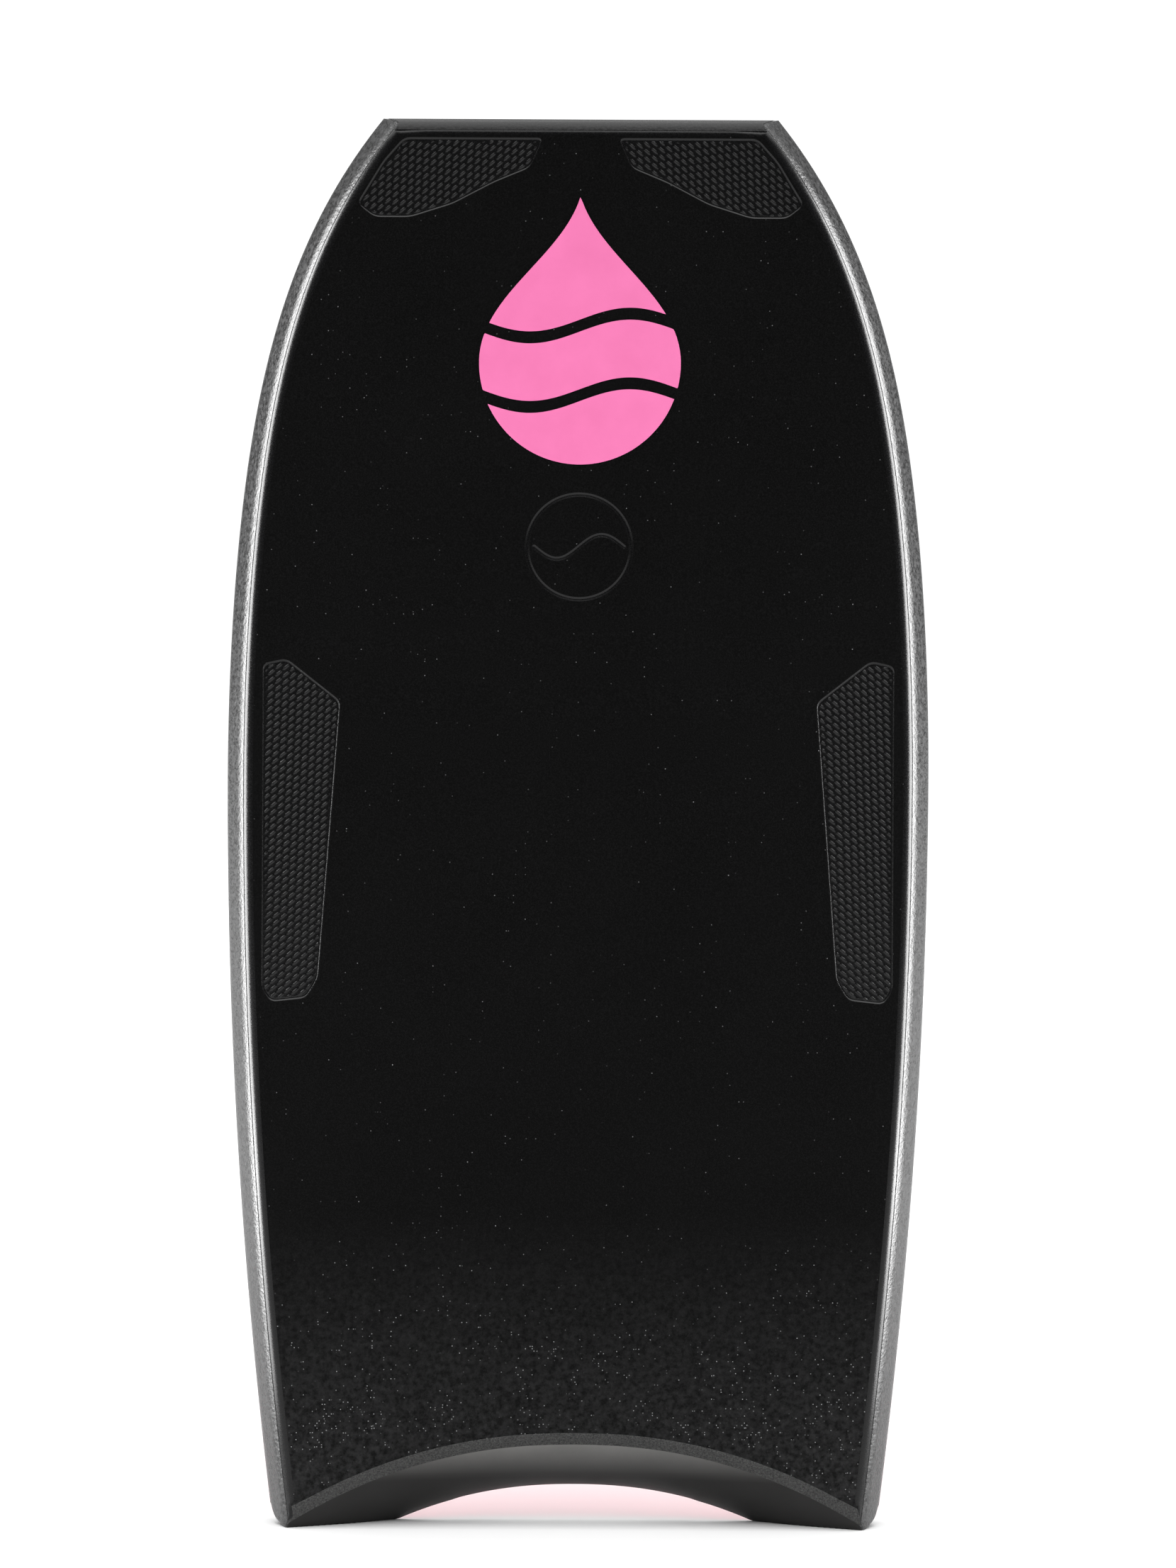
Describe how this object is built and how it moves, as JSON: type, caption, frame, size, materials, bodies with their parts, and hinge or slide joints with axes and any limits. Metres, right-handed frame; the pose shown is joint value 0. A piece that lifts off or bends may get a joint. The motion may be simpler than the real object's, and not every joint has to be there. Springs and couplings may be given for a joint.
{
  "type": "bodyboard",
  "caption": "Crescent-tail bodyboard with a black foam deck, pink slick bottom and doubled foam rails, standing on its tail pegs.",
  "frame": {"origin": "on the surface the tail pegs stand on, under the middle of the overall box", "axes": "+Z from the tail to the nose, +X towards the right hand of a rider lying on the deck, -Y out of the deck, +Y out of the slick"},
  "size_m": [0.5378, 0.0806, 1.067],
  "materials": {
    "core_foam": "matte",
    "carbon_tube": "gloss",
    "plug_plastic": "matte",
    "deck_foam": "matte",
    "rail_foam": "satin",
    "tail_foam": "matte",
    "slick_plastic": "gloss",
    "backing_foam": "matte",
    "mesh_plastic": "matte",
    "pink_film": "satin"
  },
  "bodies": {
    "root": {"core": "core_foam", "bore_plug": "core_foam", "stringer_tube": "carbon_tube", "stringer_tail_plug": "plug_plastic", "stringer_nose_plug": "plug_plastic", "deck_skin": "deck_foam", "slick_mesh": "mesh_plastic", "slick_backing": "backing_foam", "slick_sheet": "slick_plastic", "inner_rail_left": "rail_foam", "inner_rail_right": "rail_foam", "upper_rail_left": "rail_foam", "upper_rail_right": "rail_foam", "lower_rail_left": "rail_foam", "lower_rail_right": "rail_foam", "nose_inner_strip": "rail_foam", "nose_upper_strip": "rail_foam", "nose_lower_strip": "rail_foam", "tail_strip": "tail_foam", "emblem_lower": "pink_film", "emblem_middle": "pink_film", "emblem_upper": "pink_film"}
  },
  "joints": []
}
